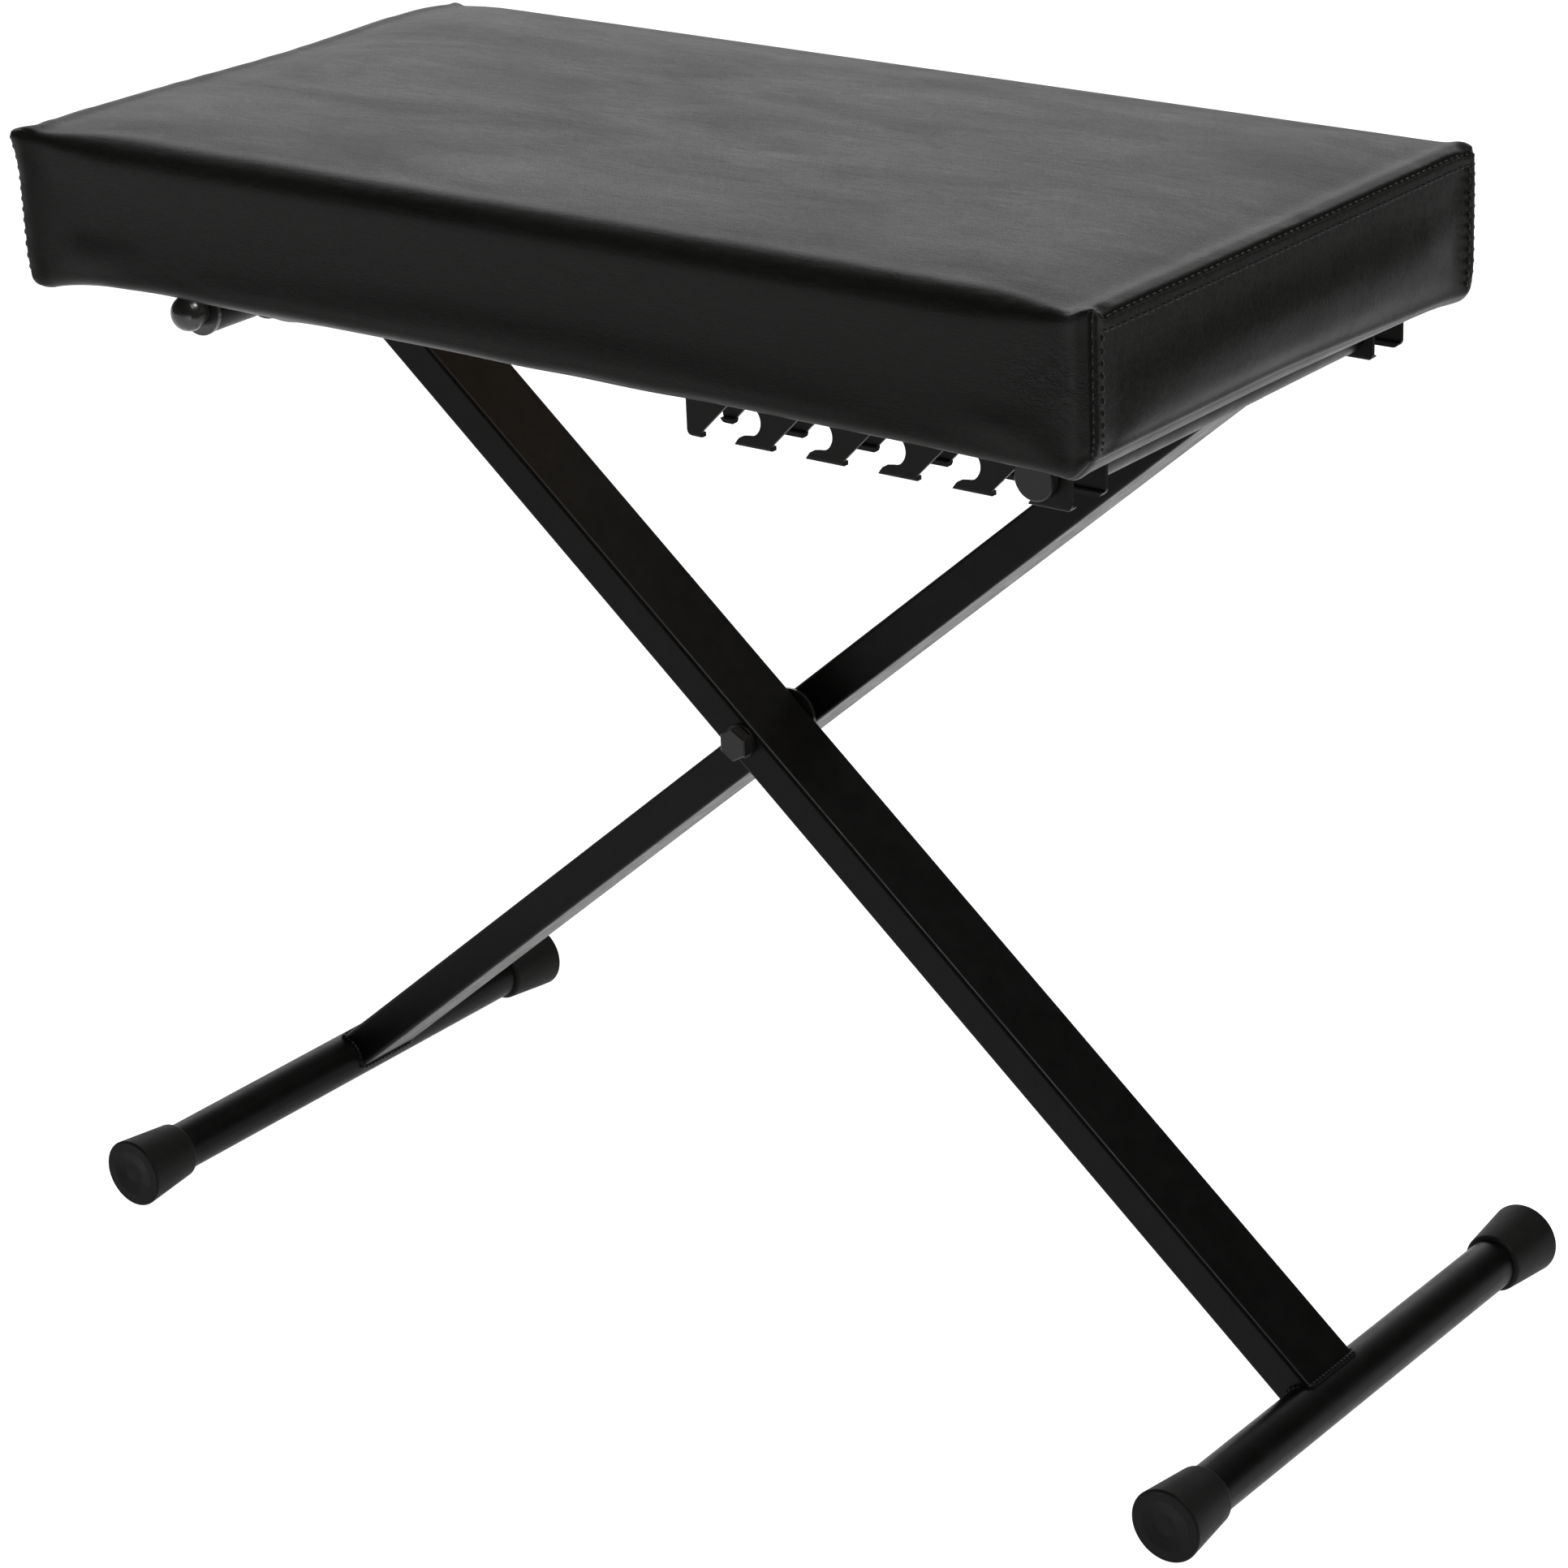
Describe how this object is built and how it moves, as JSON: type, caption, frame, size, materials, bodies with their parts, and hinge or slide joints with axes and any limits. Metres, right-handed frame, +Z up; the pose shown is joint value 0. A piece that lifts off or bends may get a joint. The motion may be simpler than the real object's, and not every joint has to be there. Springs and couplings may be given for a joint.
{
  "type": "piano bench",
  "caption": "Folding X-frame piano bench: padded rectangular vinyl seat on crossed steel legs with round capped feet and notched height rails.",
  "frame": {"origin": "on the floor, midway between the two foot tubes, under the cross bolt", "axes": "+X along the seat length towards the notched end, -Y the front, +Z up"},
  "size_m": [0.598, 0.292, 0.5067],
  "materials": {
    "black_powder_coat": "satin black powder coat",
    "black_sheet_steel": "satin black powder coat on sheet",
    "black_hardware": "black zinc fasteners",
    "black_rubber": "matt moulded rubber",
    "black_plastic": "moulded black plastic",
    "black_vinyl": "fine-grained black vinyl",
    "foam": "open-cell foam",
    "plywood": "bare plywood",
    "zinc_steel": "zinc plated",
    "nylon": "natural nylon"
  },
  "bodies": {
    "leg_a_frame": {"leg_a_tube": "black_powder_coat", "right_foot_tube": "black_powder_coat", "right_foot_cap_front": "black_rubber", "right_foot_cap_rear": "black_rubber", "pivot_tube": "black_powder_coat", "pivot_tube_cap_front": "black_plastic", "pivot_tube_cap_rear": "black_plastic", "cross_bolt": "black_hardware", "bolt_washer_front": "black_hardware", "bolt_washer_rear": "black_hardware", "lock_nut": "black_hardware", "leg_spacer_washer": "black_plastic", "leg_a_sleeve": "zinc_steel"},
    "leg_b_frame": {"leg_b_tube": "black_powder_coat", "left_foot_tube": "black_powder_coat", "left_foot_cap_front": "black_rubber", "left_foot_cap_rear": "black_rubber", "catch_tube": "black_powder_coat", "catch_pin_front": "black_hardware", "catch_pin_rear": "black_hardware", "leg_b_bush": "nylon"},
    "seat": {"vinyl_cover": "black_vinyl", "foam_pad": "foam", "seat_board": "plywood", "hem_staples": "zinc_steel", "front_notched_rail": "black_sheet_steel", "rear_notched_rail": "black_sheet_steel", "rail_screws": "zinc_steel", "pivot_bracket_front": "black_sheet_steel", "pivot_bracket_rear": "black_sheet_steel", "pivot_liner_front": "nylon", "pivot_liner_rear": "nylon", "bracket_screws": "zinc_steel"}
  },
  "joints": [
    {"name": "frame_fold", "type": "hinge", "parent": "leg_a_frame", "child": "leg_b_frame", "pos_m": [0, 0, 0.25408], "axis": [0, -1, 0], "range_deg": [0, 94.5]},
    {"name": "seat_swing", "type": "hinge", "parent": "leg_a_frame", "child": "seat", "pos_m": [-0.2158, 0, 0.43561], "axis": [0, -1, 0], "range_deg": [0, 82.31]}
  ],
  "couplings": [
    {"joint": "seat_swing", "follows": "frame_fold", "ratio": 0.87}
  ]
}
